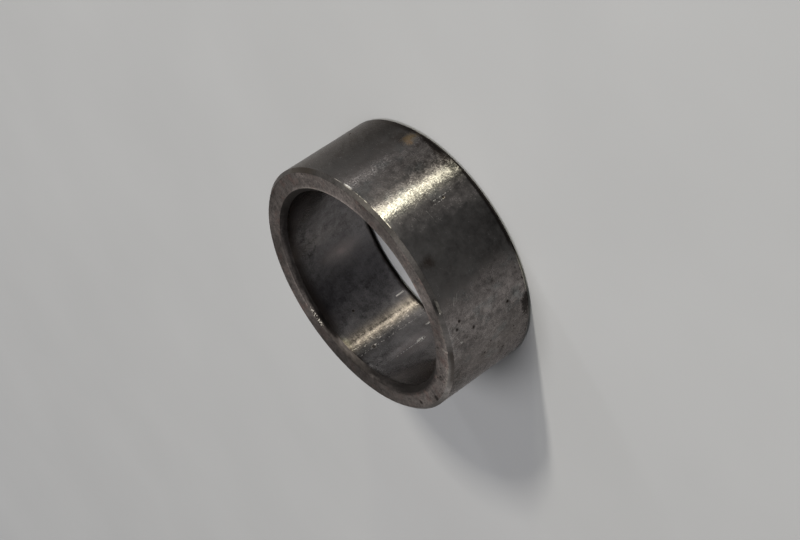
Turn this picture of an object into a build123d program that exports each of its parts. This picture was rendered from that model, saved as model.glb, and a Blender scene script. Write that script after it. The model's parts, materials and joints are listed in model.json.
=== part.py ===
"""Spacer sleeve: a short, thin-walled steel ring turned from tube, chamfered at both ends.

The sleeve stands on one end. The origin is the centre of the bottom face and +Z runs along the bore.
Its top rim has been struck: the blow has left a flat and a gouge in the outer chamfer and a scratch
across the end face, and rust has pitted the outside and the bore. Millimetres and degrees.
"""

import os
from math import cos, radians, sin

from build123d import *

# Turned sizes
bore_diameter = 42.0
wall = 5.0
length = 20.0
outer_chamfer = 0.7
bore_chamfer = 1.0

# Flat struck into the top rim: the middle of the blow, and how far it leans off the outside
flat_angle = -126.0
flat_depth = 0.2
flat_tilt = 32.0

# Gouge along the rim, where the chamfer was caught
gouge_angle = -114.0
gouge_arc = 6.5
gouge_width = 0.4
gouge_depth = 0.2

# Scratch across the outer half of the top face, beside the flat
scratch_angle = -136.0
scratch_width = 0.5
scratch_depth = 0.12
scratch_length = 2.0

# Rust pits: their mouth and depth, then the polar angle and the drop below the top face of each
pit_mouth = 0.6
pit_depth = 0.18
outside_pits = ((-78.0, 12.5), (-124.0, 3.2), (-127.0, 2.2), (-131.0, 5.8), (-130.0, 14.4))
bore_pits = ((97.0, 7.2), (120.0, 5.2))

bore_radius = bore_diameter / 2
outer_radius = bore_radius + wall
pit_dish_radius = (pit_mouth**2 / 4 + pit_depth**2) / (2 * pit_depth)


def skin_plane(radius, angle, height, tilt):
    """Plane touching the sleeve's skin: its x runs round the sleeve and its normal rises by tilt."""
    turn = radians(angle)
    rise = radians(tilt)
    return Plane(
        origin=(radius * cos(turn), radius * sin(turn), height),
        x_dir=(-sin(turn), cos(turn), 0),
        z_dir=(cos(turn) * cos(rise), sin(turn) * cos(rise), sin(rise)),
    )


with BuildPart() as spacer_sleeve:
    # The wall's section beside the axis, turned about it
    with BuildSketch(Plane.XZ) as section:
        with Locations((bore_radius, 0)):
            Rectangle(wall, length, align=(Align.MIN, Align.MIN))
        chamfer(section.vertices().group_by(Axis.X)[-1], length=outer_chamfer)
        chamfer(section.vertices().group_by(Axis.X)[0], length=bore_chamfer)
    revolve(axis=Axis.Z)

    # Flat: the blow shaves the rim down to a plane below the one that touches its outer edge
    edge_plane = skin_plane(outer_radius, flat_angle, length - outer_chamfer, flat_tilt)
    with BuildSketch(edge_plane.offset(-flat_depth)):
        Rectangle(outer_radius, wall)
    extrude(amount=wall, mode=Mode.SUBTRACT)

    # Gouge: a narrow groove that follows the chamfer round
    with BuildSketch(Plane.XZ.rotated((0, 0, gouge_angle - gouge_arc / 2))):
        with Locations((outer_radius - outer_chamfer / 2, length - outer_chamfer / 2)):
            Rectangle(2 * gouge_depth, gouge_width, rotation=45.0)
    revolve(axis=Axis.Z, revolution_arc=gouge_arc, mode=Mode.SUBTRACT)

    # Scratch: a V-groove that runs in from the rim across the end face
    with BuildSketch(skin_plane(outer_radius, scratch_angle, length, 0)):
        with BuildLine():
            Polyline(
                (-scratch_width, scratch_depth),
                (0, -scratch_depth),
                (scratch_width, scratch_depth),
                close=True,
            )
        make_face()
    extrude(amount=-scratch_length, mode=Mode.SUBTRACT)

    # Rust pits: shallow dishes in the outside and in the bore
    pit_planes = [skin_plane(outer_radius, angle, length - drop, 0) for angle, drop in outside_pits]
    pit_planes += [skin_plane(bore_radius, angle, length - drop, 180) for angle, drop in bore_pits]
    for pit_plane in pit_planes:
        with Locations(pit_plane.offset(pit_dish_radius - pit_depth)):
            Sphere(pit_dish_radius, mode=Mode.SUBTRACT)

spacer_sleeve.part.label = "spacer_sleeve"

os.makedirs("parts", exist_ok=True)
export_step(spacer_sleeve.part, "parts/spacer_sleeve.step")
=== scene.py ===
"""Spacer sleeve: the worn finish of a short steel ring, its studio and its camera.

Laid out as an add-on with two operators: one makes the sleeve, the other the studio and the camera.
Sizes are in metres unless a name says otherwise. The sleeve stands on its bottom face, its bore
runs along +Z, and angles round it are measured from +X.
"""

import json
import math

import bmesh
import bpy
from mathutils import Matrix, Vector


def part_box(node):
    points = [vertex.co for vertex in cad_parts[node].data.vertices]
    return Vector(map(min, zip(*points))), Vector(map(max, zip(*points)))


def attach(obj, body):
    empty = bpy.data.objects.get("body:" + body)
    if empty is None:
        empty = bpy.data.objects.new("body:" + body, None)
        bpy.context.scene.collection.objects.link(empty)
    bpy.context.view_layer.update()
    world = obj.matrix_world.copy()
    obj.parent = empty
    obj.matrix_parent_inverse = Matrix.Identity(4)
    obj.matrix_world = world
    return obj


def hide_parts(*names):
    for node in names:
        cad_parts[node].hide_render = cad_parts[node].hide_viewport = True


bl_info = {
    "name": "Worn Spacer Sleeve",
    "version": (1, 0, 0),
    "blender": (4, 5, 0),
    "location": "View3D > Sidebar > Sleeve",
    "description": "Builds a worn steel spacer sleeve and a small studio round it",
    "category": "Object",
}

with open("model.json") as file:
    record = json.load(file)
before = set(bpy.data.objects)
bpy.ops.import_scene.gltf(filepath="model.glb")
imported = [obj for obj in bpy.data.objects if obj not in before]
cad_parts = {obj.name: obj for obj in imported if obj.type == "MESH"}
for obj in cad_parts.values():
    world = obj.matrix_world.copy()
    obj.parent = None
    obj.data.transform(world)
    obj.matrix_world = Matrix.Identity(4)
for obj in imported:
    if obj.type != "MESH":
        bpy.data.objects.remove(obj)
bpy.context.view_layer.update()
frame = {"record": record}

NODE = "spacer_sleeve"
BODY = "root"
MM = 0.001
# What the oxide on the metal leaves of its glancing reflections
DULL_EDGE = (0.88, 0.84, 0.81)
FLOOR_SIDES = 96

NODE_LOW, NODE_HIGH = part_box(NODE)
BORE = next(mount for mount in frame["record"]["mounts"] if mount["name"] == "bore")
OUTER_RADIUS = min(NODE_HIGH.x, NODE_HIGH.y, -NODE_LOW.y)
LENGTH = NODE_HIGH.z - NODE_LOW.z
BORE_RADIUS = BORE["dims"]["r_mm"] * MM


def length_property(name, description, default, low=0.0):
    """A size that the sidebar shows in the scene's unit of length."""
    return bpy.props.FloatProperty(
        name=name, description=description, default=default, min=low,
        unit="LENGTH", subtype="DISTANCE", precision=5,
    )


def angle_property(name, description, degrees):
    """An angle, given here in degrees and kept in radians."""
    return bpy.props.FloatProperty(
        name=name, description=description, default=math.radians(degrees),
        unit="ROTATION", subtype="ANGLE",
    )


def colour_property(name, description, default):
    """A linear colour."""
    return bpy.props.FloatVectorProperty(
        name=name, description=description, default=default, size=3,
        min=0.0, max=1.0, subtype="COLOR",
    )


def share_property(name, description, default, high=1.0):
    """A plain number from nothing to high."""
    return bpy.props.FloatProperty(
        name=name, description=description, default=default, min=0.0, max=high,
    )


class SleeveSizes(bpy.types.PropertyGroup):
    """The turned sizes of the sleeve and of the damage on it."""

    outer_radius: length_property("Outer radius", "Half the outside diameter", OUTER_RADIUS)
    bore_radius: length_property("Bore radius", "Half the bore diameter", BORE_RADIUS)
    length: length_property("Length", "From end face to end face", LENGTH)
    outer_chamfer: length_property("Outer chamfer", "Chamfer on the outside corners", 0.7 * MM)
    bore_chamfer: length_property("Bore chamfer", "Chamfer on the bore corners", 1.0 * MM)
    edge_break: length_property("Edge break", "Radius worn onto every corner", 0.12 * MM)
    columns: bpy.props.IntProperty(
        name="Columns", description="Faces round the sleeve", default=600, min=48,
    )
    flat_angle: angle_property("Flat angle", "Middle of the flat struck into the top rim", -126.0)
    flat_depth: length_property("Flat depth", "How deep the blow went", 0.2 * MM)
    flat_tilt: angle_property("Flat tilt", "How far the flat leans off the outside", 32.0)
    gouge_angle: angle_property("Gouge angle", "Middle of the gouge along the rim", -114.0)
    gouge_arc: angle_property("Gouge arc", "How far the gouge runs round", 6.5)
    gouge_width: length_property("Gouge width", "Across the gouge", 0.45 * MM)
    gouge_depth: length_property("Gouge depth", "How deep the gouge is", 0.2 * MM)
    scratch_angle: angle_property("Scratch angle", "Where the scratch crosses the top face", -136.0)
    scratch_width: length_property("Scratch width", "Across the scratch", 0.5 * MM)
    scratch_depth: length_property("Scratch depth", "How deep the scratch is", 0.12 * MM)
    scratch_length: length_property("Scratch length", "How far it runs in from the rim", 2.0 * MM)


class SleeveFinish(bpy.types.PropertyGroup):
    """The colours and the finish of the steel; some colours also serve as painted light and shade."""

    ground_steel: colour_property("Ground steel", "Clean, dark ground metal", (0.060, 0.0575, 0.056))
    patina: colour_property("Patina", "Dull, paler skin where it has been handled", (0.186, 0.168, 0.161))
    grey_patina: colour_property("Grey patina", "Cooler patches in the patina", (0.148, 0.150, 0.148))
    bore_steel: colour_property("Bore steel", "Darker metal inside the bore", (0.080, 0.077, 0.080))
    # pale bore metal, laid by the bore's tone ramp partly as painted reflection
    worn_bore: colour_property("Worn bore", "Paler metal where the pin has run", (0.270, 0.256, 0.250))
    # painted highlight: the straw tint laid along the bore's line of light
    painted_highlight_straw: colour_property("Straw", "Straw tint where the pin polished the bore", (0.320, 0.282, 0.236))
    # painted reflection: pale warm patches in the bore
    rubbed_and_painted_light: colour_property("Rubbed bore", "Pale, warm patches rubbed in the bore", (0.360, 0.310, 0.295))
    face_steel: colour_property("Face steel", "Brownish metal of the faced ends", (0.175, 0.154, 0.146))
    red_brown: colour_property("Red brown", "Redder patches on the faced ends", (0.160, 0.116, 0.106))
    chamfer_steel: colour_property("Chamfer steel", "Metal of the chamfers", (0.078, 0.072, 0.068))
    # oil spots, and also painted shade: dark arcs on the top outer chamfer and a dark line along the bottom
    # of the bore
    stain_and_shade: colour_property("Stain", "Brown-black oil stain", (0.026, 0.019, 0.015))
    rust: colour_property("Rust", "Pale orange-brown rust", (0.038, 0.024, 0.010))
    deep_rust: colour_property("Deep rust", "Darker orange rust", (0.044, 0.023, 0.009))
    pit_rust: colour_property("Pit rust", "Brown-black rust in the pits", (0.022, 0.015, 0.011))
    # black scale; the black line along the bottom edge, which is painted shade, also takes this colour
    scale: colour_property("Scale", "Black scale in pits and dark arcs", (0.012, 0.010, 0.009))
    # painted glints: fine scratch marks are painted in this near-white where they catch the light
    scratch_glint: colour_property("Score", "Bright bottoms of the fine scratches", (0.800, 0.780, 0.720))
    # partly bare metal, partly painted glints and edge highlights, and painted light on an arc of the
    # bottom chamfer
    burnish_and_glint: colour_property("Burnish", "Bright metal where an edge has been rubbed", (0.420, 0.395, 0.350))
    roughness: share_property("Roughness", "Roughness of the ground outside", 0.245)
    bore_roughness: share_property("Bore roughness", "Roughness of the bored inside", 0.24)
    grinding: share_property("Grinding", "How far the grinding stretches the highlights", 1.0)
    grain: share_property("Grain", "Strength of the fine grain", 1.0, 3.0)


class StudioSetup(bpy.types.PropertyGroup):
    """The floor, the lamps and the camera."""

    floor_colour: colour_property("Floor colour", "Plain pale floor", (0.380, 0.387, 0.403))
    floor_radius: length_property("Floor radius", "Half the width of the floor", 3.0)
    room_colour: colour_property("Room colour", "Pale room round the floor", (0.46, 0.462, 0.466))
    room_light: share_property("Room light", "Share of the room's brightness that lights the floor", 0.12)
    viewpoint: bpy.props.FloatVectorProperty(
        name="Viewpoint", description="Where the camera stands", size=3,
        default=(-0.00120, -0.35176, 0.18447), unit="LENGTH", subtype="XYZ", precision=5,
    )
    looks_down: angle_property("Looks down", "Angle of the line of sight below the horizon", 26.40)
    camera_roll: angle_property("Camera roll", "Turn of the camera about its line of sight", -124.08)
    lens: bpy.props.FloatProperty(
        name="Lens", description="Focal length on a 36 mm sensor, in millimetres", default=94.0, min=1.0,
    )


class Value:
    """A node socket in an expression: each operator adds the Math node that works it out."""

    def __init__(self, recipe, socket):
        self.recipe = recipe
        self.socket = socket

    def output(self, name):
        """Another output of the same node."""
        return Value(self.recipe, self.socket.node.outputs[name])

    def maths(self, operation, *terms):
        """A Math node that works out the terms."""
        return self.recipe.node("ShaderNodeMath", {"operation": operation}, dict(enumerate(terms)))

    def __add__(self, other):
        return self.maths("ADD", self, other)

    def __radd__(self, other):
        return self.maths("ADD", other, self)

    def __sub__(self, other):
        return self.maths("SUBTRACT", self, other)

    def __rsub__(self, other):
        return self.maths("SUBTRACT", other, self)

    def __mul__(self, other):
        return self.maths("MULTIPLY", self, other)

    def __rmul__(self, other):
        return self.maths("MULTIPLY", other, self)

    def __truediv__(self, other):
        return self.maths("DIVIDE", self, other)

    def __rtruediv__(self, other):
        return self.maths("DIVIDE", other, self)

    def __pow__(self, other):
        return self.maths("POWER", self, other)

    def __rpow__(self, other):
        return self.maths("POWER", other, self)

    def __neg__(self):
        return self.maths("MULTIPLY", self, -1.0)

    def __abs__(self):
        return self.maths("ABSOLUTE", self)

    def root(self):
        return self.maths("SQRT", self)

    def larger(self, other):
        return self.maths("MAXIMUM", self, other)

    def step(self, low, high):
        """0 at low and 1 at high, easing in between; low may be the larger."""
        return self.recipe.node(
            "ShaderNodeMapRange", {"interpolation_type": "SMOOTHSTEP"},
            {"Value": self, "From Min": low, "From Max": high},
        )


class Recipe:
    """The nodes of one material, with the sleeve's own measures ready: all in mm and degrees."""

    def __init__(self, material):
        material.use_nodes = True
        self.tree = material.node_tree
        self.tree.nodes.clear()

    def node(self, kind, settings, sockets, output=0):
        """Adds a node: its settings first, a ramp's stops with them, then its sockets' values and links."""
        made = self.tree.nodes.new(kind)
        for setting, value in settings.items():
            if setting == "stops":
                self.set_stops(made.color_ramp, value)
            else:
                setattr(made, setting, value)
        for key, value in sockets.items():
            socket = made.inputs[key]
            if isinstance(value, Value):
                self.tree.links.new(value.socket, socket)
            elif socket.type == "RGBA":
                socket.default_value = (*value[:3], 1.0)
            else:
                socket.default_value = value
        return Value(self, made.outputs[output]) if made.outputs else None

    def set_stops(self, ramp, stops):
        """Stops, a dict of place to level, both from 0 to 1, eased from one to the next."""
        ramp.interpolation = "EASE"
        while len(ramp.elements) < len(stops):
            ramp.elements.new(0.5)
        for element, (place, level) in zip(ramp.elements, sorted(stops.items())):
            element.position = place
            element.color = (level, level, level, 1.0)

    def blend(self, colour, other, share):
        """Colour goes over to other by share. The colour sockets of the Mix node go by number."""
        settings = {"data_type": "RGBA", "clamp_factor": True}
        return self.node("ShaderNodeMix", settings, {0: share, 6: colour, 7: other}, output=2)

    def shade(self, colour, amount):
        """Colour times a value."""
        sockets = {"Vector": colour, "Scale": amount}
        return self.node("ShaderNodeVectorMath", {"operation": "SCALE"}, sockets)

    def place(self):
        """Where on the sleeve: (point in mm, angle round in degrees, radius, height)."""
        metres = self.node("ShaderNodeTexCoord", {}, {}, output="Object")
        point = self.shade(metres, 1 / MM)
        x = self.node("ShaderNodeSeparateXYZ", {}, {"Vector": point}, output="X")
        y, z = x.output("Y"), x.output("Z")
        around = x.maths("ARCTAN2", y, x) * math.degrees(1.0)
        radius = (x * x + y * y).root()
        return point, around, radius, z

    def point(self, x, y, z):
        """A point made of three values."""
        return self.node("ShaderNodeCombineXYZ", {}, {"X": x, "Y": y, "Z": z})

    def stretched(self, point, across, along):
        """The point with its x and y times across and its z times along."""
        sockets = {0: point, 1: (across, across, along)}
        return self.node("ShaderNodeVectorMath", {"operation": "MULTIPLY"}, sockets)

    def noise(self, point, scale, detail=2.0, rough=0.5):
        """Unevenness about nothing, mostly within 1 either way; scale is in features for each mm."""
        sockets = {"Vector": point, "Scale": scale, "Detail": detail, "Roughness": rough}
        uneven = self.node("ShaderNodeTexNoise", {"noise_dimensions": "3D"}, sockets, output="Fac")
        return (uneven - 0.5) * 4.0

    def specks(self, point, scale, size):
        """Round specks, size being their radius in mm."""
        sockets = {"Vector": point, "Scale": scale, "Randomness": 1.0}
        distance = self.node("ShaderNodeTexVoronoi", {"feature": "F1"}, sockets, output="Distance")
        return distance.step(size * scale, 0.4 * size * scale)

    def ramp(self, value, low, high, stops):
        """A value that follows stops, a dict of place to level, between low and high."""
        share = self.node("ShaderNodeMapRange", {}, {"Value": value, "From Min": low, "From Max": high})
        placed = {(place - low) / (high - low): level for place, level in stops.items()}
        return self.node("ShaderNodeValToRGB", {"stops": placed}, {"Fac": share})

    def seen(self):
        """1 where the camera sees a point, straight or in a reflection, and 0 where it only gives light."""
        ray = self.node("ShaderNodeLightPath", {}, {}, output="Is Camera Ray")
        return ray.larger(ray.output("Is Glossy Ray")).larger(ray.output("Is Transmission Ray"))

    def finished(self, colour, roughness, metallic, relief, grinding):
        """Joins the paint to the metal shader. Relief is in thousandths of a millimetre."""
        uneven = {"Strength": 1.0, "Distance": MM / 1000, "Height": relief}
        bump = self.node("ShaderNodeBump", {}, uneven, output="Normal")
        metal = self.node(
            "ShaderNodeBsdfPrincipled", {},
            {
                "Base Color": colour,
                "Roughness": roughness,
                "Metallic": metallic,
                "Anisotropic": grinding,
                "Anisotropic Rotation": 0.25,
                "Specular Tint": DULL_EDGE,
                "Normal": bump,
            },
            output="BSDF",
        )
        self.node("ShaderNodeOutputMaterial", {}, {"Surface": metal})


class Skin:
    """One turned skin of the sleeve as its paint sees it: where a point is, and marks laid on it."""

    def __init__(self, recipe, radius):
        self.recipe = recipe
        self.point, self.around, self.radius, self.height = recipe.place()
        self.degree = radius / MM * math.radians(1.0)
        self.clouds = recipe.noise(self.point, 0.15, 3.0, 0.55)
        self.mottle = recipe.noise(self.point, 0.8, 4.0, 0.62)
        self.grain = recipe.noise(self.point, 3.2, 3.0, 0.6)
        self.patches = recipe.noise(recipe.stretched(self.point, 0.34, 0.26), 1.0, 3.0, 0.6)
        self.ragged = self.mottle * 0.45 + self.grain * 0.35
        self.lay = recipe.noise(recipe.stretched(self.point, 0.5, 3.0), 1.0, 2.0, 0.5)
        self.relief = self.grain * 2.8 + self.mottle * 3.0 + self.lay * 5.0

    def smears(self, lean, thin, long):
        """Long thin unevenness that leans off the axis; thin and long are in features for each mm."""
        across = self.around * self.degree
        c, s = math.cos(math.radians(lean)), math.sin(math.radians(lean))
        along = across * s + self.height * c
        aside = across * c - self.height * s
        return self.recipe.noise(self.recipe.point(aside * thin, along * long, 0.0), 1.0, 3.0, 0.6)

    def blot(self, around, height, half_round, half_high, soft=0.5, ragged=1.0):
        """A mark centred at an angle and a height, half_round by half_high mm, with a worn outline."""
        across = (self.around - around) * (self.degree / half_round)
        up = (self.height - height) * (1.0 / half_high)
        distance = (across * across + up * up).root() + self.ragged * ragged
        return distance.step(1.0 + soft, 1.0 - soft)

    def streak(self, around, height, half_long, half_wide, lean=0.0):
        """A fine straight mark; lean is the angle that it makes with the axis, in degrees."""
        across = (self.around - around) * self.degree
        up = self.height - height
        c, s = math.cos(math.radians(lean)), math.sin(math.radians(lean))
        along = abs(across * s + up * c)
        aside = abs(across * c - up * s)
        return aside.step(half_wide, 0.3 * half_wide) * along.step(half_long, 0.8 * half_long)

    def nick(self, around, radius, size):
        """A small round mark on an end face, at an angle and a radius; size is across it, in mm."""
        aside = (self.around - around) * (radius * math.radians(1.0))
        out = self.radius - radius
        distance = (aside * aside + out * out).root() + self.grain * 0.1
        return distance.step(size * 0.65, size * 0.30)

    def sector(self, middle, half, soft=1.0):
        """The part of the sleeve within half a sector of an angle, all in degrees."""
        return abs(self.around - middle).step(half + soft, half - soft)


def all_of(marks):
    """The strongest of several marks at each point."""
    marks = list(marks)
    strongest = marks[0]
    for mark in marks[1:]:
        strongest = strongest.larger(mark)
    return strongest


# Rust pits: angle round in degrees, height above the bottom face and mouth in mm
OUTSIDE_PITS = (
    (-78.4, 7.3, 0.50), (-124.2, 16.5, 0.60), (-127.2, 17.4, 0.60), (-131.0, 13.8, 0.60),
    (-130.0, 5.3, 0.60), (-148.9, 11.6, 0.42), (-144.0, 10.2, 0.38), (-154.0, 6.7, 0.45),
    (-148.0, 8.1, 0.36), (-144.8, 4.5, 0.40), (-16.4, 6.2, 0.50), (-124.3, 0.9, 0.50),
    (-153.0, 1.1, 0.45), (58.0, 11.0, 0.50), (131.0, 4.6, 0.42),
)
BORE_PITS = ((97.4, 13.0, 0.45), (120.6, 14.9, 0.62), (-74.0, 6.0, 0.45))
# Nicks in the top face: angle round in degrees, radius and width in mm
FACE_NICKS = ((-172.6, 24.8, 1.3), (172.0, 24.2, 1.0), (-158.0, 22.9, 0.5), (-150.0, 23.2, 0.4))
# Depth of a pit for each mm of its mouth
PIT_STEEPNESS = 0.20


def paint_outside(recipe, finish):
    """Ground outside: dark metal, duller patina, oil spots, a rust spot and pits, with painted light, shade
    and glints.
    """
    skin = Skin(recipe, OUTER_RADIUS)
    around, height = skin.around, skin.height
    # painted light and shade mixed with wear: this tone round the sleeve follows its reflections as well as
    # its patina, with painted shade darkest from -109 to -86 degrees
    worn_and_painted_light = recipe.ramp(
        around + skin.clouds * 5.0 + skin.mottle * 2.5, -180.0, 180.0,
        {-180.0: 0.72, -160.0: 0.86, -146.0: 0.64, -122.0: 0.98, -116.0: 0.66, -109.0: 0.10, -99.0: 0.0,
         -86.0: 0.0, -79.0: 0.34, -72.0: 0.52, -60.0: 0.66, -52.0: 0.55, -42.0: 0.20, -34.0: 0.0,
         -22.0: 0.0, -10.0: 0.06, 30.0: 0.50, 75.0: 0.85, 110.0: 0.25, 150.0: 0.60, 180.0: 0.72},
    )
    patina = recipe.blend(finish.patina, finish.grey_patina, skin.patches.step(-0.1, 0.9) * 0.85)
    colour = recipe.blend(finish.ground_steel, patina, worn_and_painted_light)
    tone = 1.0 + skin.clouds * 0.34
    tone = tone + skin.mottle * (0.28 + worn_and_painted_light * 0.32) + skin.grain * (0.05 + worn_and_painted_light * 0.14)
    brushed = skin.smears(-55.0, 1.1, 0.22) + skin.smears(-62.0, 3.0, 0.40) * 0.9
    tone = tone + brushed * around.step(-46.0, -24.0) * around.step(12.0, -8.0) * 0.4
    # painted light and shade: the skin gets paler or darker up the sleeve, at a rate that changes round it
    rise = (
        around.step(-58.0, -50.0) * around.step(-6.0, -18.0) * 0.050 + skin.sector(-84.0, 25.0, 8.0) * 0.036
        + around.step(-40.0, -32.0) * around.step(-6.0, -16.0) * 0.022
        - around.step(-140.0, -160.0) * around.step(-179.5, -168.0) * 0.070
    )
    # paler between -142 and -168 degrees, fading out towards -132 and -179
    paler_arc = around.step(-132.0, -142.0) * around.step(-179.0, -168.0)
    tone = tone + (height - 10.0) * (rise + 0.006) + paler_arc * 0.14
    # painted shade: darker round -12 degrees, to hold down the glancing reflection there
    tone = tone - skin.sector(-12.0, 11.0, 7.0) * 0.32
    ground_lines = recipe.noise(recipe.stretched(skin.point, 0.5, 6.0), 1.0, 2.0, 0.5)
    tone = tone + ground_lines * (0.04 + worn_and_painted_light * 0.10)
    # painted shade: the line of light at -70 degrees darkened towards the bottom
    tone = tone - skin.sector(-70.0, 8.0, 6.0) * height.step(9.0, 3.0) * 0.16
    # painted highlight: grain sparkle painted into the flanks of the line of light at -70 degrees, a
    # painted line of glitter at -51 degrees and a paler painted strip at -76 degrees
    flanks = skin.sector(-70.0, 6.5, 3.0)
    painted_glitter_band = skin.sector(-51.3, 2.2, 1.5) * (height + skin.mottle * 3.0).step(8.0, 15.0)
    tone = tone + skin.grain * (flanks * 0.32 + painted_glitter_band * 1.3) + painted_glitter_band * 0.35
    tone = tone + skin.sector(-75.8, 1.2, 2.0) * 0.35
    tone = tone + skin.blot(-40.0, 6.0, 2.5, 4.5, soft=0.9) * 0.30
    colour = recipe.shade(colour, tone.larger(0.1))

    drifting = around + skin.ragged * 6.0
    freckled = drifting.step(-112.0, -124.0) + drifting.step(60.0, 75.0)
    freckled = freckled + skin.sector(-28.0, 12.0, 8.0) * 0.7
    specks = recipe.specks(skin.point, 0.9, 0.24) * skin.mottle.step(-0.5, 0.3) * freckled
    stains_and_painted_shade = all_of((
        # beside the rust spot and under it
        skin.blot(-60.0, 1.5, 2.6, 0.60) * 0.7,
        skin.blot(-53.0, 3.0, 0.5, 0.9) * 0.35,
        skin.blot(-44.5, 3.6, 1.5, 1.3, soft=0.9, ragged=1.3) * 0.6,
        # brown patches on the ground metal
        skin.blot(-26.0, 8.5, 1.2, 1.0, soft=0.9, ragged=1.3) * 0.4,
        skin.blot(-31.0, 13.5, 1.0, 0.8, soft=0.9, ragged=1.3) * 0.4,
        # oil spot under the top rim
        skin.blot(-96.6, 17.3, 0.95, 1.3, soft=0.8, ragged=0.8) * 0.9,
        # rims of the larger pits
        skin.blot(-149.5, 12.0, 1.0, 0.55, soft=0.8) * 0.5,
        skin.blot(-146.5, 10.6, 1.0, 0.60, soft=0.8) * 0.5,
        skin.blot(-156.0, 7.0, 1.0, 0.60, soft=0.8) * 0.6,
        skin.blot(-16.4, 6.2, 1.0, 0.65, soft=0.5, ragged=0.6) * 1.15,
        skin.blot(-150.5, 8.1, 0.8, 0.40, soft=0.8) * 0.5,
        # back of the sleeve
        skin.blot(70.0, 2.0, 3.0, 0.9),
        skin.blot(150.0, 17.6, 1.4, 1.0),
    ))
    colour = recipe.blend(colour, finish.stain_and_shade, stains_and_painted_shade * 0.85)
    rusty = skin.blot(-47.2, 2.7, 1.15, 1.35, soft=0.5, ragged=1.5)
    deep = skin.blot(-49.2, 3.6, 0.70, 0.7, soft=0.7, ragged=0.9)
    bottom_shade_line = (height + skin.ragged * 0.16 + skin.sector(-69.0, 6.0, 3.0) * 0.35).step(1.30, 1.05)
    bottom_shade_line = bottom_shade_line * (around.step(-112.0, -106.0) * around.step(176.0, 150.0)).larger(0.15)
    black = all_of((
        # painted shade: a black line along the bottom edge, with three thicker crusts of black scale
        bottom_shade_line * 0.95,
        skin.blot(-136.6, 1.3, 2.5, 0.90, soft=0.3, ragged=0.7) * 0.88,
        skin.blot(-31.0, 1.2, 7.0, 0.55, soft=0.4, ragged=0.6) * 0.8,
        skin.blot(-57.0, 1.2, 3.0, 0.50, soft=0.4, ragged=0.7) * 0.8,
    ))
    colour = recipe.blend(colour, finish.scale, black)
    crumbly = recipe.shade(finish.rust, 1.1 + skin.mottle * 0.7 + skin.grain)
    colour = recipe.blend(colour, crumbly, rusty * 0.9)
    colour = recipe.blend(colour, finish.deep_rust, deep * 0.85)
    pits = all_of(
        skin.blot(spot, high, mouth * 0.52, mouth * 0.52, soft=0.6, ragged=0.4)
        for spot, high, mouth in OUTSIDE_PITS
    )
    colour = recipe.blend(colour, finish.pit_rust, (pits * 0.9).larger(specks * 0.6))
    scratches_and_glints = all_of((
        # broken scratch marks beside the highlight, painted bright like glints
        skin.streak(-79.0, 9.4, 2.1, 0.10) * skin.grain.step(-0.1, 0.5) * 0.5,
        skin.streak(-77.5, 7.0, 2.8, 0.10) * skin.grain.step(-0.1, 0.6) * 0.45,
        skin.streak(-82.0, 11.6, 1.5, 0.07, lean=86.0) * skin.mottle.step(-0.5, 0.4) * 0.16,
        # painted glint on the top edge
        skin.blot(-51.3, 19.14, 0.95, 0.15, soft=0.4, ragged=0.1) * 0.9,
        # hairlines round the flat and the gouge, and a painted glint at -52 degrees
        skin.streak(-132.4, 17.5, 1.0, 0.11, lean=66.0) * skin.grain.step(-0.6, 0.6) * 0.30,
        skin.streak(-134.2, 17.0, 0.3, 0.22) * 0.35,
        skin.streak(-115.4, 16.2, 0.9, 0.06, lean=-62.0) * 0.3,
        skin.streak(-114.6, 15.4, 0.8, 0.06, lean=-58.0) * 0.2,
        skin.streak(-52.0, 15.6, 2.6, 0.10, lean=-4.0) * skin.grain.step(0.1, 0.5) * 0.5,
    ))
    colour = recipe.blend(colour, finish.scratch_glint, scratches_and_glints)

    metallic = 1.0 - rusty * 0.7 - deep * 0.7
    roughness = finish.roughness + worn_and_painted_light * 0.03 + skin.mottle * 0.02 + skin.grain * 0.02
    roughness = roughness + rusty * 0.45 + pits * 0.3 + scratches_and_glints * 0.2
    relief = skin.relief * finish.grain + rusty * skin.grain * 14.0 - scratches_and_glints * 3.0
    recipe.finished(colour, roughness, metallic, relief, finish.grinding)


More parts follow.
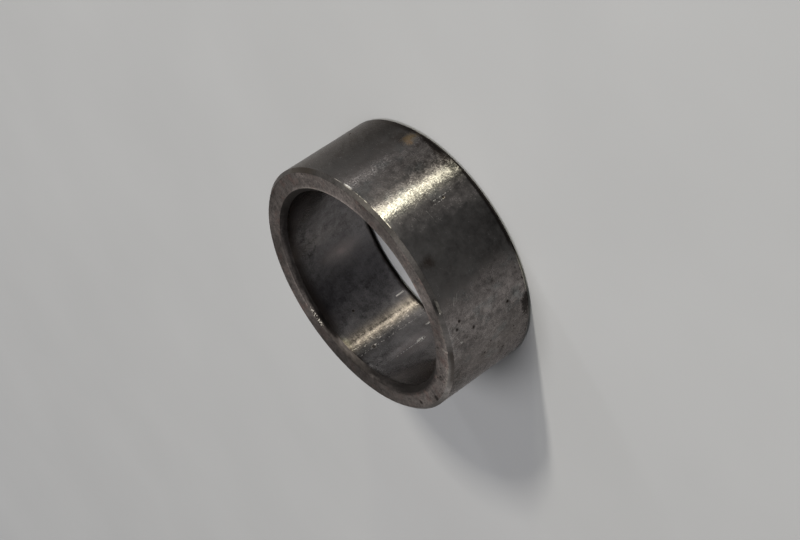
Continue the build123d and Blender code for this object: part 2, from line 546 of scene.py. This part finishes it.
def paint_bore(recipe, finish):
    """Bored inside: darker, with fine boring marks, short marks painted bright as glints, and painted
    highlight, reflection and shade.
    """
    skin = Skin(recipe, BORE_RADIUS)
    around, height = skin.around, skin.height
    # painted light and shade mixed with wear: this tone round the bore follows its reflections as well as
    # its wear
    worn_and_painted_light = recipe.ramp(
        around + skin.clouds * 5.0 + skin.mottle * 2.0, -180.0, 180.0,
        {-180.0: 0.50, -120.0: 0.30, -60.0: 0.60, -20.0: 0.20, 15.0: 0.45, 45.0: 0.55, 66.0: 0.50,
         78.0: 0.06, 88.0: 0.0, 98.0: 0.14, 107.0: 0.56, 122.0: 0.90, 129.0: 0.78, 140.0: 0.95,
         160.0: 0.90, 180.0: 0.50},
    )
    # painted highlight: a straw tint along the line of light at 112 degrees
    pale_bore_and_painted_highlight = recipe.blend(finish.worn_bore, finish.painted_highlight_straw, skin.sector(112.0, 4.5, 3.0))
    colour = recipe.blend(finish.bore_steel, pale_bore_and_painted_highlight, worn_and_painted_light)
    tone = 1.0 + skin.clouds * 0.30 + skin.mottle * 0.32 + skin.grain * 0.16 + skin.lay * 0.05
    tone = tone + skin.smears(20.0, 0.7, 0.2) * 0.18
    # painted shade and light: darker towards the top of the bore, but paler towards the top past 128
    # degrees, with painted light high up from 133 to 178 degrees
    tone = tone - (height - 10.0) * (0.030 - around.step(112.0, 128.0) * 0.050)
    tone = tone + around.step(133.0, 148.0) * around.step(178.0, 158.0) * height.step(10.0, 17.0) * 1.1
    pale = (
        skin.blot(30.0, 15.5, 2.0, 2.5, soft=0.9) * 0.35
        + skin.blot(137.5, 9.0, 1.2, 3.0, soft=0.9) * 0.25
        + skin.blot(125.3, 9.0, 0.9, 3.0, soft=0.9) * 0.25
    )
    # darker patches, with painted shade in a strip at 111 degrees beside the line of light
    dull_and_painted_shade = (
        skin.blot(50.0, 15.5, 2.0, 2.5, soft=0.9) * 0.30
        + skin.blot(130.0, 14.8, 1.0, 3.2, soft=0.9) * 0.50
        + skin.blot(90.0, 9.5, 1.6, 3.0, soft=0.9) * 0.25
        + skin.sector(111.3, 0.6, 1.1) * 0.60
    )
    # painted highlight: the core of the line of light at 113 degrees brightened, grained and combed
    painted_highlight_core = skin.sector(113.0, 2.5, 2.0) * skin.grain * 0.5 + skin.sector(113.0, 0.8, 0.8) * 0.35
    tone = tone + pale - dull_and_painted_shade + painted_highlight_core + skin.lay * skin.sector(113.0, 4.0, 2.0) * 0.25
    colour = recipe.shade(colour, tone.larger(0.25))
    # painted reflections: pale warm patches at 66 and 134 degrees
    warm = all_of((
        skin.blot(66.0, 8.5, 1.4, 3.4, soft=0.9, ragged=0.6),
        skin.blot(66.5, 8.6, 0.8, 1.6, soft=0.9, ragged=0.6) * 1.6,
        skin.blot(134.4, 9.5, 1.8, 4.6, soft=0.5, ragged=0.5) * 0.5,
    ))
    colour = recipe.blend(colour, finish.rubbed_and_painted_light, warm * 0.6)
    specks = recipe.specks(skin.point, 0.6, 0.16) * 0.5 * skin.mottle.step(0.0, 0.5)
    pits = all_of(
        skin.blot(spot, high, mouth * 0.72, mouth * 0.70, soft=0.2, ragged=0.1)
        for spot, high, mouth in BORE_PITS
    )
    # painted shade: a dark line along the bottom of the bore; darker also along the top, most below 100
    # degrees
    stains_and_painted_shade = all_of((
        (height + skin.ragged * 0.3).step(1.6, 1.1) * 0.7,
        (height + skin.ragged * 1.0).step(16.4, 18.8) * around.step(106.0, 98.0) * 0.8,
        (height - skin.ragged * 0.4).step(18.2, 18.9) * 0.6,
    ))
    colour = recipe.blend(colour, finish.stain_and_shade, stains_and_painted_shade)
    hairline_glints = recipe.noise(recipe.point(around * skin.degree * 3.2, height * 0.9, 0.0), 1.0, 3.0, 0.7)
    scores_and_glints = all_of((
        # painted glints: hairlines beside the line of light, one long broken scratch mark and short deep
        # ones, and a painted reflection at 134 degrees
        hairline_glints.step(0.30, 0.95) * skin.sector(117.0, 4.0, 2.0) * 0.45,
        skin.streak(120.9, 10.3, 8.8, 0.12) * skin.grain.step(-0.1, 0.7) * 0.6,
        skin.streak(103.9, 2.7, 1.1, 0.22) * 0.45,
        skin.streak(128.0, 2.9, 0.8, 0.24) * skin.grain.step(-0.6, 0.0),
        skin.blot(134.4, 7.1, 0.5, 1.0, soft=0.5) * skin.grain.step(-0.3, 0.2),
        skin.streak(134.6, 11.0, 3.0, 0.16) * skin.grain.step(0.0, 0.5) * 0.5,
    ))
    colour = recipe.blend(colour, finish.scratch_glint, scores_and_glints)
    colour = recipe.blend(colour, finish.scale, (pits * 0.9).larger(specks))
    roughness = finish.bore_roughness + skin.mottle * 0.02 + pits * 0.6 + scores_and_glints * 0.25
    relief = (skin.grain * 3.4 + skin.mottle * 1.6 + skin.lay * 3.0) * finish.grain - scores_and_glints * 4.0
    recipe.finished(colour, roughness, 1.0, relief, finish.grinding)


def paint_ends(recipe, finish):
    """Faced ends: even, brownish metal with fine facing marks and the bright lines of the blow, under
    painted light and shade round the face and along its edges.
    """
    skin = Skin(recipe, OUTER_RADIUS)
    around, radius = skin.around, skin.radius
    facing = recipe.noise(recipe.point(radius * 3.5, skin.clouds * 0.8, skin.height), 1.0, 3.0, 0.6)
    scuffs = recipe.noise(skin.point, 1.9, 4.0, 0.7)
    tone = 1.0 + skin.clouds * 0.30 + skin.mottle * 0.55 + skin.grain * 0.25 + scuffs * 0.45 + facing * 0.12
    # painted light and shade: this tone round the face follows its reflections as well as its wear
    worn_and_painted_light = recipe.ramp(
        around + skin.clouds * 6.0, -180.0, 180.0,
        {-180.0: 0.57, -150.0: 0.66, -130.0: 0.50, -105.0: 0.69, -75.0: 0.44, -50.0: 0.75, -20.0: 0.53,
         15.0: 0.41, 30.0: 0.56, 50.0: 0.29, 75.0: 0.66, 100.0: 0.32, 125.0: 0.27, 150.0: 0.41,
         180.0: 0.57},
    )
    wobble = around + skin.ragged * 3.0
    inner = (radius + skin.mottle * 0.12).step(22.9, 22.2)
    outer = (radius + skin.mottle * 0.20).step(23.8, 24.8)
    # painted light and shade on the face: darker by the bore from 135 to 180 degrees either way, painted
    # light along the bore edge and on arcs of the rim, and darker rim arcs near -119 and 17 degrees
    painted_light_inside = wobble.step(-126.0, -118.0) * wobble.step(6.0, -12.0) + skin.sector(68.0, 20.0, 8.0)
    painted_light_on_rim = (
        skin.sector(-146.0, 18.0, 5.0) + skin.sector(-88.0, 4.0, 3.0) + skin.sector(-20.0, 3.0, 2.0)
    )
    darker_rim_arcs = skin.sector(-119.0, 4.0, 3.0) + skin.sector(17.0, 10.0, 6.0)
    tone = tone * (
        1.0
        - inner * abs(wobble).step(135.0, 165.0) * 0.60
        + inner * painted_light_inside * 0.55
        + outer * painted_light_on_rim * (0.42 + skin.grain * 0.3)
        - outer * darker_rim_arcs * 0.30
    )
    tone = (tone * worn_and_painted_light).larger(0.05)
    reddened = (skin.patches + skin.mottle * 0.4).step(-0.1, 0.8)
    colour = recipe.shade(recipe.blend(finish.face_steel, finish.red_brown, reddened * 0.8), tone)
    top = skin.height.step(19.0, 19.8)
    # bright lines on the face: partly bare metal from the blow, partly painted glints along the rim by the
    # flat, along the scratch and along the bore edge from -55 to -15 degrees
    spread = skin.sector(-126.5, 6.5) * 0.7 + skin.sector(-148.0, 10.5, 1.5)
    bright = radius.step(24.75, 25.0) * spread * skin.mottle.step(-0.6, 0.2)
    inner_line = radius.step(22.30, 22.15) * skin.sector(-35.0, 20.0, 3.0)
    step_line = radius.step(23.4, 24.2) * skin.sector(-136.0, 0.7, 0.4)
    gouge_line = radius.step(24.95, 25.15) * skin.sector(-114.0, 3.1, 0.5)
    colour = recipe.blend(colour, finish.burnish_and_glint, all_of((bright, inner_line, step_line)) * top * 0.22)
    freckled = (skin.mottle + skin.sector(-150.0, 22.0, 8.0)).step(0.0, 0.6)
    specks = recipe.specks(skin.point, 0.8, 0.22) * 0.6 * freckled
    nicks = all_of(skin.nick(spot, out, size) for spot, out, size in FACE_NICKS) * top
    colour = recipe.blend(colour, finish.scale, all_of((specks, gouge_line * top * 0.7, nicks * 0.85)))
    roughness = finish.roughness + 0.40 + skin.mottle * 0.03
    relief = skin.relief * finish.grain + facing * 1.5
    recipe.finished(colour, roughness, 1.0, relief, 0.0)


def paint_chamfers(recipe, finish):
    """Chamfers: turned corners, scaled over in places, with painted shade, painted glints and painted light
    in others, and bare metal in the gouge.
    """
    skin = Skin(recipe, OUTER_RADIUS)
    radius, height = skin.radius, skin.height
    outer = radius.step(24.9, 25.2)
    top = height.step(17.0, 17.6)
    wobble = skin.around + skin.ragged * 1.5
    # painted light and shade: this tone round the chamfers swings far past the metal's own colour, up to
    # 3.6 times, to follow their reflections
    worn_and_painted_light = recipe.ramp(
        wobble, -180.0, 180.0,
        {-180.0: 1.0, -160.0: 3.6, -150.0: 2.8, -136.0: 1.0, -129.0: 1.9, -121.0: 1.5, -113.0: 0.36,
         -108.0: 0.80, -100.0: 0.58, -88.0: 0.62, -74.0: 0.22, -60.0: 0.62, -48.0: 0.86, -35.0: 0.92,
         -24.0: 0.48, -12.0: 1.4, 180.0: 1.0},
    )
    tone = 1.0 + skin.clouds * 0.14 + skin.mottle * 0.30 + skin.grain * 0.20
    colour = recipe.shade(finish.chamfer_steel, tone * worn_and_painted_light)
    # painted shade: dark arcs on the top outer chamfer beside the flat and from -34 to -8 degrees, in the
    # oil-spot colour
    shade_by_flat = wobble.step(-133.2, -137.0) * wobble.step(-160.0, -152.0) * radius.step(25.25, 25.75)
    far_shade_arc = wobble.step(-8.0, -14.0) * wobble.step(-34.0, -26.0)
    painted_shade_arcs = shade_by_flat.larger(far_shade_arc) * outer * skin.mottle.step(-1.4, -0.6)
    # painted light and shade: the bore chamfer's tone round the sleeve, at its bore side and at its face
    # side, follows its reflections and spans over forty times
    bore_side_painted_light = recipe.ramp(
        wobble, -180.0, 180.0,
        {-180.0: 0.10, -10.0: 0.045, 15.0: 0.055, 30.0: 0.09, 50.0: 0.15, 60.0: 0.22, 72.0: 0.12,
         82.0: 0.055, 92.0: 0.012, 101.0: 0.028, 108.0: 0.17, 120.0: 0.20, 130.0: 0.13, 145.0: 0.19,
         162.0: 0.13, 180.0: 0.10},
    )
    face_side_painted_light = recipe.ramp(
        wobble, -180.0, 180.0,
        {-180.0: 0.085, -10.0: 0.06, 20.0: 0.115, 30.0: 0.20, 42.0: 0.36, 58.0: 0.52, 70.0: 0.34,
         80.0: 0.46, 90.0: 0.12, 100.0: 0.12, 110.0: 0.083, 124.0: 0.14, 142.0: 0.33, 152.0: 0.28,
         166.0: 0.14, 180.0: 0.085},
    )
    share = (radius + skin.ragged * 0.08).step(21.32, 21.86)
    painted_bore_chamfer_tone = tone * (1.0 + skin.lay * 0.4) * (bore_side_painted_light + (face_side_painted_light - bore_side_painted_light) * share)
    bored = recipe.shade(finish.face_steel, painted_bore_chamfer_tone)
    colour = recipe.blend(colour, finish.stain_and_shade, painted_shade_arcs * top * 0.70)
    colour = recipe.blend(colour, bored, (1.0 - outer) * top)
    # the bottom chamfers are black, save painted light along the outer arc from about -121 to -168 degrees,
    # broken by the scale patch at -136 degrees
    painted_light_arc = outer * wobble.step(-111.0, -121.0) * wobble.step(-177.0, -168.0)
    scaled = (1.0 - painted_light_arc).larger(abs(wobble + 136.5).step(6.0, 4.0))
    colour = recipe.blend(colour, recipe.blend(finish.burnish_and_glint, finish.scale, scaled), (1.0 - top) * 0.9)
    edge = abs(height - 19.30)
    bore_glints = abs(wobble - 89.5).step(7.0, 4.5) * height.step(19.55, 19.75) * skin.grain.step(0.1, 0.4)
    painted_edge_highlight = edge.step(0.07, 0.03) * wobble.step(-82.0, -76.0) * wobble.step(-34.0, -42.0)
    bare_gouge = height.step(19.62, 19.5) * skin.sector(-113.5, 3.0, 0.6) * skin.grain.step(-0.8, 0.2)
    # painted glints on the top chamfers: flecks near 90 degrees, an edge highlight from -76 to -42 degrees
    # and a dash at -52 degrees, with bare metal in the gouge
    rubbed_and_painted_light = all_of((
        bore_glints * (1.0 - outer),
        painted_edge_highlight * skin.mottle.step(-0.2, 0.4) * 0.8,
        edge.step(0.16, 0.08) * skin.sector(-51.6, 2.0, 0.6) * 0.6,
        bare_gouge * outer * 0.45,
    )) * top
    colour = recipe.blend(colour, finish.burnish_and_glint, rubbed_and_painted_light * 0.8)
    roughness = finish.roughness + 0.25 + skin.mottle * 0.03 + painted_shade_arcs * 0.1
    relief = skin.relief * finish.grain + skin.mottle * 3.0
    recipe.finished(colour, roughness, 1.0 - painted_shade_arcs * 0.3, relief, 0.6)


FINISHES = {
    "outside": ("ground_outside", paint_outside),
    "bore": ("bored_inside", paint_bore),
    "end": ("faced_ends", paint_ends),
    "chamfer": ("turned_chamfers", paint_chamfers),
}
SPACING = {"outside": 0.5 * MM, "bore": 0.7 * MM, "end": 0.35 * MM, "chamfer": 0.2 * MM}


def section_corners(sizes):
    """The wall's corners, outside bottom first, each with the finish of the run that follows it."""
    outer, bore, top = sizes.outer_radius, sizes.bore_radius, sizes.length
    out, within = sizes.outer_chamfer, sizes.bore_chamfer
    return [
        (Vector((outer, out)), "outside"),
        (Vector((outer, top - out)), "chamfer"),
        (Vector((outer - out, top)), "end"),
        (Vector((bore + within, top)), "chamfer"),
        (Vector((bore, top - within)), "bore"),
        (Vector((bore, within)), "chamfer"),
        (Vector((bore + within, 0.0)), "end"),
        (Vector((outer - out, 0.0)), "chamfer"),
    ]


def rounded_section(sizes):
    """The section as (radius, height) points, each with the finish of the face that follows it."""
    corners = section_corners(sizes)
    broken = sizes.edge_break
    points = []
    for place, (corner, finish) in enumerate(corners):
        before, finish_before = corners[place - 1]
        after = corners[(place + 1) % len(corners)][0]
        into, out = (corner - before).normalized(), (after - corner).normalized()
        turn = into.angle(out)
        tangent = broken * math.tan(turn / 2)
        centre = corner - into * tangent + Vector((-into.y, into.x)) * broken
        steps = 4
        for step in range(steps + 1):
            angle = turn * step / steps
            normal = Matrix.Rotation(angle, 2) @ Vector((into.y, -into.x))
            points.append((centre + normal * broken, "chamfer" if step < steps else finish))
        start, end = corner + out * tangent, after - out * broken * math.tan(turn / 2)
        run = (end - start).length
        edge = 0.08 * MM
        inner = max(1, round((run - 2 * edge) / SPACING[finish]))
        for step in range(inner + 1):
            points.append((start + out * (edge + (run - 2 * edge) * step / inner), finish))
    return points


def skin_normal(around, rise=0.0):
    """The direction off the skin at an angle round the sleeve, leaning up by rise."""
    return Vector((math.cos(around) * math.cos(rise), math.sin(around) * math.cos(rise), math.sin(rise)))


def refine(mesh, near, reach, cuts):
    """Divides the faces whose middle is within reach of a point."""
    faces = [face for face in mesh.faces if (face.calc_center_median() - near).length < reach]
    edges = list({edge for face in faces for edge in face.edges})
    bmesh.ops.subdivide_edges(mesh, edges=edges, cuts=cuts, use_grid_fill=True)


def turn_sleeve(sizes):
    """Turns the section about the axis."""
    section = rounded_section(sizes)
    finishes = list(FINISHES)
    mesh = bmesh.new()
    rows = []
    for column in range(sizes.columns):
        turned = math.tau * column / sizes.columns
        rows.append([
            mesh.verts.new((point.x * math.cos(turned), point.x * math.sin(turned), point.y))
            for point, finish in section
        ])
    for column, row in enumerate(rows):
        beside = rows[(column + 1) % len(rows)]
        for place, (point, finish) in enumerate(section):
            above = (place + 1) % len(section)
            face = mesh.faces.new((row[place], beside[place], beside[above], row[above]))
            face.material_index = finishes.index(finish)
            face.smooth = True
    mesh.normal_update()
    return mesh


def sink_pit(mesh, centre, outward, mouth, depth):
    """Presses a round pit into the skin."""
    dish = (mouth**2 / 4 + depth**2) / (2 * depth)
    for vertex in mesh.verts:
        offset = vertex.co - centre
        if offset.length > 2 * mouth:
            continue
        aside = (offset - outward * offset.dot(outward)).length
        if aside < mouth / 2:
            vertex.co -= outward * (math.sqrt(dish**2 - aside**2) - (dish - depth))


def strike_flat(mesh, sizes):
    """Shaves the struck rim down to the plane of the blow."""
    normal = skin_normal(sizes.flat_angle, sizes.flat_tilt)
    edge = skin_normal(sizes.flat_angle) * sizes.outer_radius
    edge.z = sizes.length - sizes.outer_chamfer
    for vertex in mesh.verts:
        proud = (vertex.co - edge).dot(normal) + sizes.flat_depth
        if proud > 0:
            vertex.co -= normal * proud


def cut_gouge(mesh, sizes):
    """Ploughs a narrow groove along the top outer chamfer."""
    middle = Vector((sizes.outer_radius - sizes.outer_chamfer / 2, sizes.length - sizes.outer_chamfer / 2))
    half_arc = sizes.gouge_arc / 2
    for vertex in mesh.verts:
        radius = vertex.co.xy.length
        across = ((radius - middle.x) - (vertex.co.z - middle.y)) / math.sqrt(2)
        off = ((radius - middle.x) + (vertex.co.z - middle.y)) / math.sqrt(2)
        turned = math.atan2(vertex.co.y, vertex.co.x) - sizes.gouge_angle
        if abs(across) > sizes.gouge_width / 2 or abs(off) > sizes.outer_chamfer or abs(turned) > half_arc:
            continue
        shape = math.sqrt(1 - (2 * across / sizes.gouge_width) ** 2)
        ends = min(1.0, 4 * (1 - abs(turned) / half_arc))
        sunk = sizes.gouge_depth * shape * ends / math.sqrt(2)
        vertex.co -= skin_normal(math.atan2(vertex.co.y, vertex.co.x)) * sunk
        vertex.co.z -= sunk


def cut_scratch(mesh, sizes):
    """Draws a V-shaped scratch in from the rim across the top face."""
    inward = skin_normal(sizes.scratch_angle)
    for vertex in mesh.verts:
        along = sizes.outer_radius - vertex.co.dot(inward)
        aside = abs(vertex.co.x * inward.y - vertex.co.y * inward.x)
        if not 0 <= along < sizes.scratch_length or aside > sizes.scratch_width / 2:
            continue
        fade = min(1.0, 3 * (1 - along / sizes.scratch_length))
        depth = sizes.scratch_depth * fade * (1 - 2 * aside / sizes.scratch_width)
        vertex.co.z = min(vertex.co.z, sizes.length - depth)


def make_sleeve(sizes, finish):
    """Turns the sleeve, damages it, and gives it its finishes."""
    mesh = turn_sleeve(sizes)
    rim = sizes.length - sizes.outer_chamfer / 2
    for angle in (sizes.flat_angle, sizes.gouge_angle, sizes.scratch_angle):
        near = skin_normal(angle) * (sizes.outer_radius - sizes.outer_chamfer / 2)
        near.z = rim
        refine(mesh, near, 1.3 * MM, 2)
    pits = [
        (angle, height, mouth, sizes.outer_radius, 1.0) for angle, height, mouth in OUTSIDE_PITS
    ] + [
        (angle, height, mouth, sizes.bore_radius, -1.0) for angle, height, mouth in BORE_PITS
    ]
    for angle, height, mouth, radius, side in pits:
        outward = skin_normal(math.radians(angle))
        centre = outward * radius
        centre.z = height * MM
        refine(mesh, centre, mouth * MM, 4)
        sink_pit(mesh, centre, outward * side, mouth * MM, mouth * PIT_STEEPNESS * MM)
    strike_flat(mesh, sizes)
    cut_gouge(mesh, sizes)
    cut_scratch(mesh, sizes)
    bmesh.ops.recalc_face_normals(mesh, faces=mesh.faces)
    data = bpy.data.meshes.new("worn_spacer_sleeve")
    mesh.to_mesh(data)
    mesh.free()
    for name, paint in FINISHES.values():
        material = bpy.data.materials.new(name)
        paint(Recipe(material), finish)
        data.materials.append(material)
    sleeve = bpy.data.objects.new("worn_spacer_sleeve", data)
    bpy.context.scene.collection.objects.link(sleeve)
    return sleeve


def softbox(name, aim, azimuth, elevation, distance, width, height, power, colour=(1.0, 1.0, 1.0)):
    """A rectangular lamp that faces a point from an azimuth and elevation given in degrees."""
    lamp = bpy.data.lights.new(name, "AREA")
    lamp.shape = "RECTANGLE"
    lamp.size, lamp.size_y = width, height
    lamp.energy = power
    lamp.color = colour
    holder = bpy.data.objects.new(name, lamp)
    bpy.context.scene.collection.objects.link(holder)
    outward = skin_normal(math.radians(azimuth), math.radians(elevation))
    holder.location = aim + outward * distance
    holder.rotation_euler = (-outward).to_track_quat("-Z", "Y").to_euler()


def make_floor(studio):
    """A round floor, all one pale colour, that fades into the room far off."""
    mesh = bmesh.new()
    rings = (0.05, 0.15, 0.4, 0.8, 0.95, 1.0)
    circles = []
    for share in rings:
        circles.append([
            mesh.verts.new(skin_normal(math.tau * side / FLOOR_SIDES) * studio.floor_radius * share)
            for side in range(FLOOR_SIDES)
        ])
    middle = mesh.verts.new((0.0, 0.0, 0.0))
    for side in range(FLOOR_SIDES):
        beside = (side + 1) % FLOOR_SIDES
        mesh.faces.new((middle, circles[0][side], circles[0][beside]))
        for inner, outer in zip(circles, circles[1:]):
            mesh.faces.new((inner[side], outer[side], outer[beside], inner[beside]))
    data = bpy.data.meshes.new("studio_floor")
    mesh.to_mesh(data)
    mesh.free()
    material = bpy.data.materials.new("pale_floor")
    recipe = Recipe(material)
    point, _, radius, _ = recipe.place()
    drift = recipe.noise(point, 0.02, 3.0, 0.5)
    colour = recipe.shade(studio.floor_colour, 0.985 + drift * 0.03)
    matt = {"Base Color": colour, "Roughness": 0.9, "Specular IOR Level": 0.1}
    board = recipe.node("ShaderNodeBsdfPrincipled", {}, matt, output="BSDF")
    glow = recipe.node("ShaderNodeEmission", {}, {"Color": studio.room_colour, "Strength": 1.0})
    far = (radius * MM).step(0.15, 1.1) * recipe.seen()
    faded = recipe.node("ShaderNodeMixShader", {}, {0: far, 1: board, 2: glow})
    recipe.node("ShaderNodeOutputMaterial", {}, {"Surface": faded})
    data.materials.append(material)
    floor = bpy.data.objects.new("studio_floor", data)
    bpy.context.scene.collection.objects.link(floor)


def light_room(studio):
    """A pale room, softer as a light than it looks, and the lamps."""
    world = bpy.data.worlds.new("pale_room")
    bpy.context.scene.world = world
    recipe = Recipe(world)
    strength = recipe.seen() * (1.0 - studio.room_light) + studio.room_light
    room = recipe.node("ShaderNodeBackground", {}, {"Color": studio.room_colour, "Strength": strength})
    recipe.node("ShaderNodeOutputWorld", {}, {"Surface": room})
    middle = Vector((0.0, 0.0, LENGTH / 2))
    # low_strip draws the line of light down the outside, and key the one down the bore
    softbox("low_strip", middle, -52.2, 2.2, 1.2, 0.06, 0.07, 11.0, (0.98, 1.0, 0.77))
    softbox("key", middle, -45.4, 27.0, 2.4, 0.12, 0.32, 52.0, (1.0, 0.95, 0.84))
    softbox("edge_strip", middle, -11.0, 22.0, 1.2, 0.08, 0.25, 1.8)
    softbox("overhead", middle, -50.0, 72.0, 3.0, 1.7, 1.7, 66.0, (1.0, 0.98, 0.96))
    softbox("side_fill", middle, 176.0, 25.0, 1.5, 1.6, 0.8, 1.5)


def place_camera(studio):
    """The camera, turned about its own line of sight as a hand-held one is."""
    lens = bpy.data.cameras.new("camera")
    lens.lens = studio.lens
    lens.sensor_width = 36.0
    lens.clip_start, lens.clip_end = 0.01, 20.0
    camera = bpy.data.objects.new("camera", lens)
    bpy.context.scene.collection.objects.link(camera)
    tilt = Matrix.Rotation(math.pi / 2 - studio.looks_down, 4, "X")
    roll = Matrix.Rotation(studio.camera_roll, 4, "Z")
    camera.matrix_world = Matrix.Translation(studio.viewpoint) @ tilt @ roll
    bpy.context.scene.camera = camera


class SLEEVE_OT_turn_sleeve(bpy.types.Operator):
    """Turn the worn sleeve and put it in place of the plain one"""

    bl_idname = "sleeve.turn_sleeve"
    bl_label = "Turn Worn Sleeve"

    def execute(self, context):
        sleeve = make_sleeve(context.scene.sleeve_sizes, context.scene.sleeve_finish)
        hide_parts(NODE)
        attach(sleeve, BODY)
        return {"FINISHED"}


class SLEEVE_OT_set_stage(bpy.types.Operator):
    """Lay the floor, hang the lamps and set up the camera"""

    bl_idname = "sleeve.set_stage"
    bl_label = "Set Stage"

    def execute(self, context):
        studio = context.scene.sleeve_studio
        context.scene.view_settings.view_transform = "Standard"
        make_floor(studio)
        light_room(studio)
        place_camera(studio)
        return {"FINISHED"}


class SLEEVE_PT_sidebar(bpy.types.Panel):
    """Lists what the add-on makes"""

    bl_idname = "SLEEVE_PT_sidebar"
    bl_label = "Worn Spacer Sleeve"
    bl_space_type = "VIEW_3D"
    bl_region_type = "UI"
    bl_category = "Sleeve"

    def draw(self, context):
        layout = self.layout
        for operator in OPERATORS:
            layout.operator(operator.bl_idname)
        for group in (context.scene.sleeve_sizes, context.scene.sleeve_finish, context.scene.sleeve_studio):
            box = layout.box()
            for name in group.bl_rna.properties.keys():
                if name not in {"rna_type", "name"}:
                    box.prop(group, name)


GROUPS = {"sleeve_sizes": SleeveSizes, "sleeve_finish": SleeveFinish, "sleeve_studio": StudioSetup}
OPERATORS = (SLEEVE_OT_turn_sleeve, SLEEVE_OT_set_stage)


def register():
    """Adds the settings to the scene, then the operators and the panel."""
    for group in GROUPS.values():
        bpy.utils.register_class(group)
    for name, group in GROUPS.items():
        setattr(bpy.types.Scene, name, bpy.props.PointerProperty(type=group))
    for part in (*OPERATORS, SLEEVE_PT_sidebar):
        bpy.utils.register_class(part)


def unregister():
    """Takes away all that register() added, in reverse."""
    for part in (SLEEVE_PT_sidebar, *reversed(OPERATORS)):
        bpy.utils.unregister_class(part)
    for name in GROUPS:
        delattr(bpy.types.Scene, name)
    for group in GROUPS.values():
        bpy.utils.unregister_class(group)


def main():
    """Makes the sleeve, then the stage."""
    register()
    bpy.ops.sleeve.turn_sleeve()
    bpy.ops.sleeve.set_stage()


if __name__ == "__main__":
    main()
